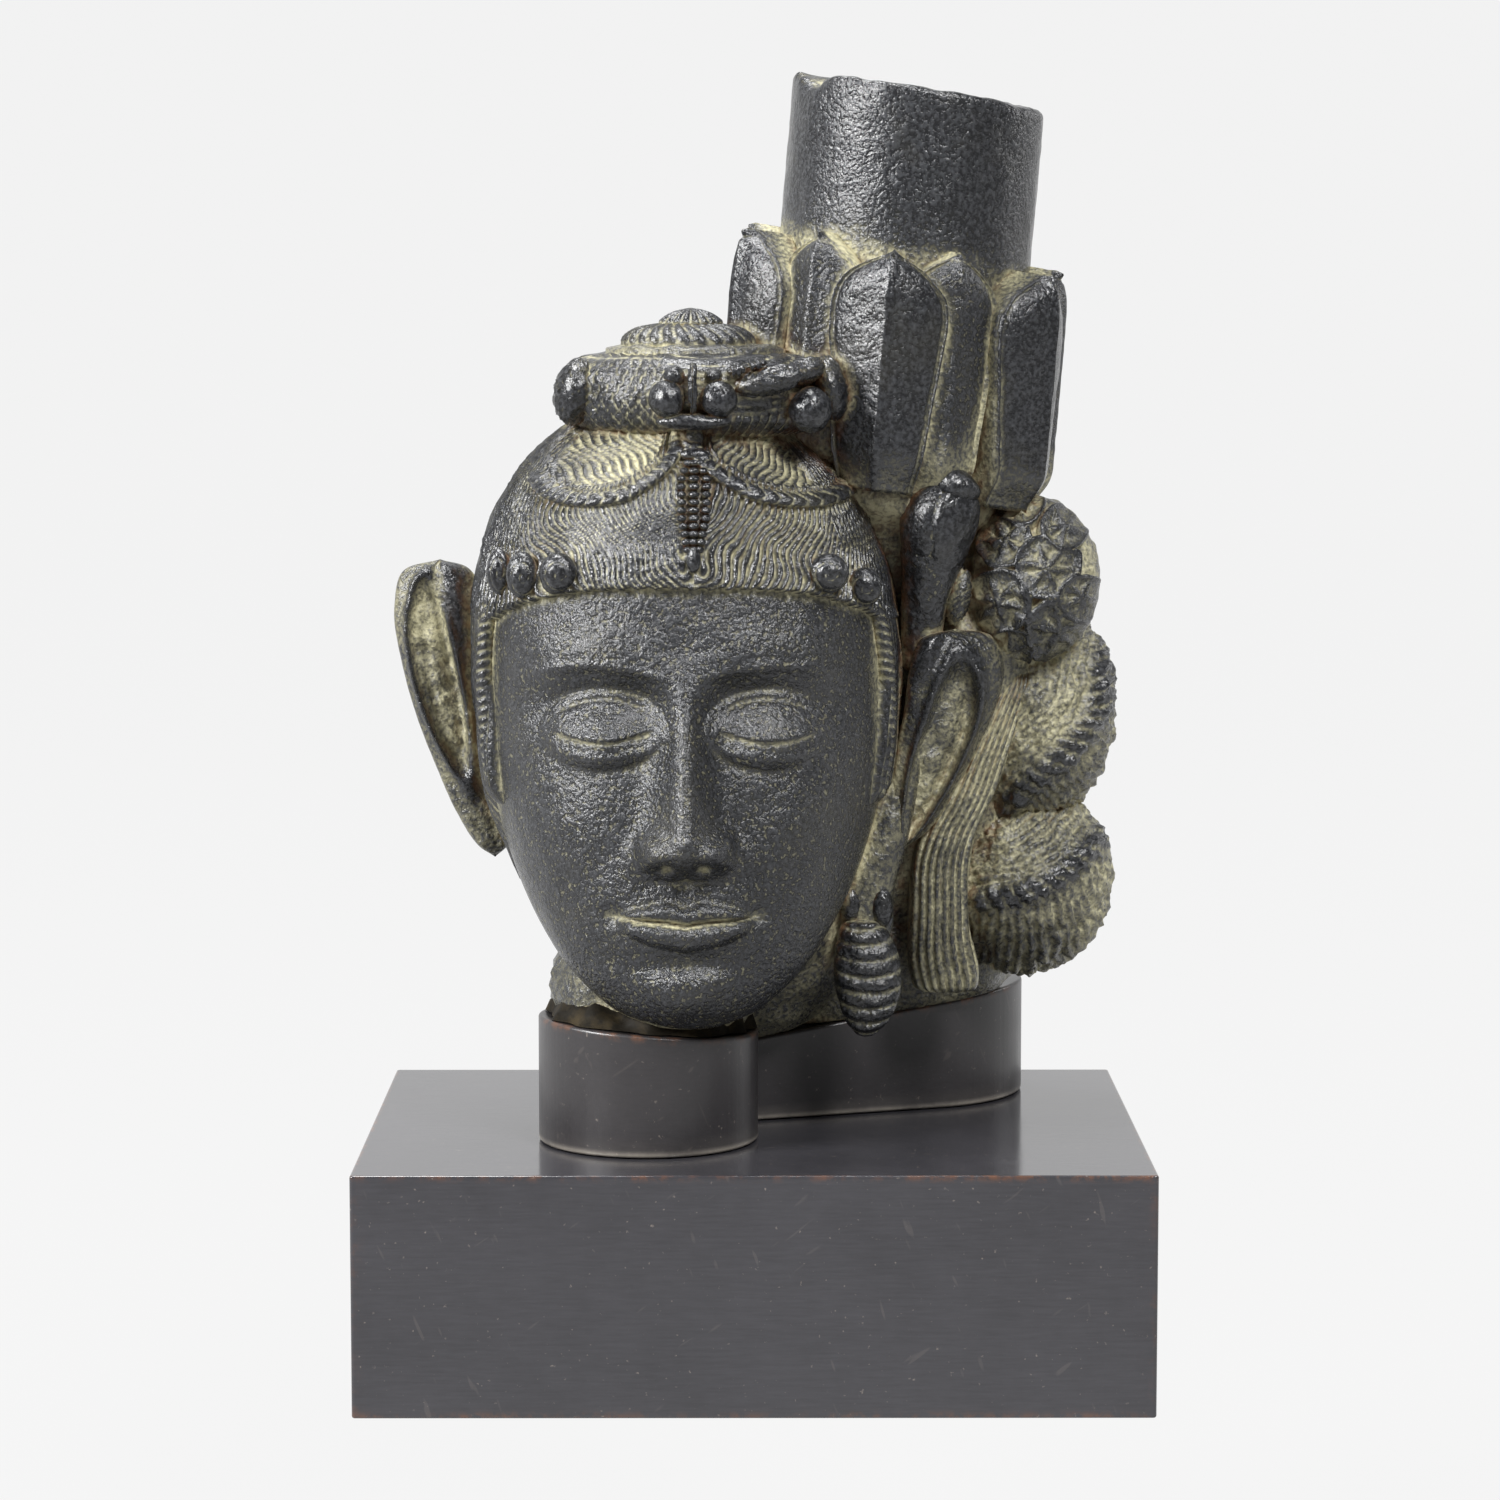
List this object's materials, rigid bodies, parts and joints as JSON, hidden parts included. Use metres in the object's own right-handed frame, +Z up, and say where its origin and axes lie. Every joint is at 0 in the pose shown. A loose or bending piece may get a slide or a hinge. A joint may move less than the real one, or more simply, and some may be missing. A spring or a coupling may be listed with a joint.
{
  "type": "carved stone head on a wooden stand",
  "caption": "Dark carved stone head fragment with combed hair, a topknot and a lotus column behind it, seated on a shaped, dark-painted wooden stand.",
  "frame": {"origin": "middle of the plinth's underside, on the surface it stands on", "axes": "+X to the right as seen from in front, -Y towards the front, where the face looks, +Z up"},
  "size_m": [0.209, 0.152, 0.3511],
  "materials": {
    "stone": "dark grey stone, satin on the high places, with pale olive patina in the cuts",
    "riser_paint": "near-black paint on wood, satin, worn to brown along the top rim",
    "plinth_paint": "near-black paint on wood, satin, worn to brown at the edges"
  },
  "bodies": {
    "root": {"stone_head": "stone", "wooden_riser": "riser_paint", "wooden_plinth": "plinth_paint"}
  },
  "joints": []
}
